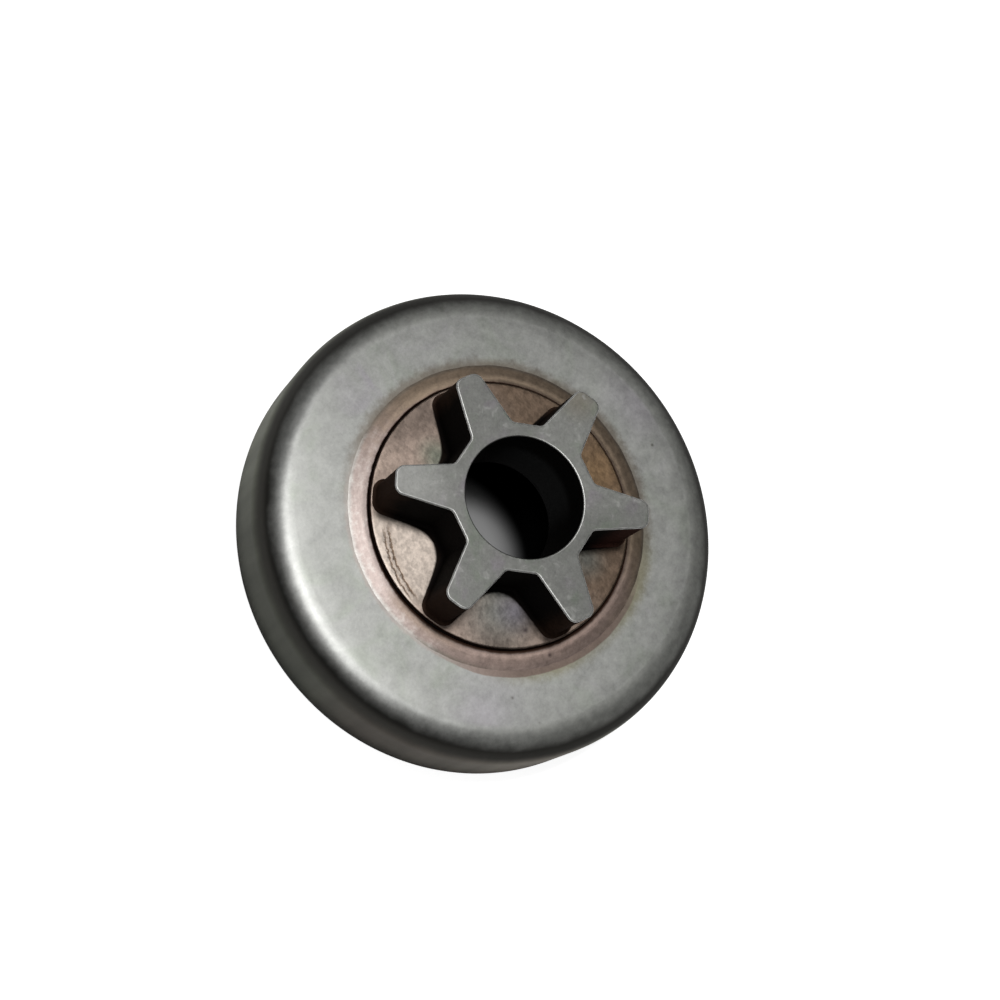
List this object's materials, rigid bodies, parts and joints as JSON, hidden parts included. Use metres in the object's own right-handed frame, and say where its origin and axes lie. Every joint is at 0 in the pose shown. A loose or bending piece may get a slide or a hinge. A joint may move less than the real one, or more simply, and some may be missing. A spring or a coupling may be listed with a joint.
{
  "type": "clutch drum sprocket",
  "caption": "Cup-shaped pressed steel clutch drum with a spur sprocket brazed into its web and a plain bearing bore, which passes an engine's drive to a saw chain.",
  "frame": {"origin": "on the axis, at the middle of the open rim's plane", "axes": "+Z along the axis from the open rim towards the sprocket's front; +X through the middle of one tooth"},
  "size_m": [0.056, 0.056, 0.0196],
  "materials": {
    "drum_steel": "satin sheet steel, darker on the wall",
    "sprocket_steel": "ground front, dark flanks, copper-washed disc",
    "copper_braze": "pale furnace-brazed copper"
  },
  "bodies": {
    "root": {"drum": "drum_steel", "sprocket": "sprocket_steel", "braze_ring": "copper_braze"}
  },
  "joints": []
}
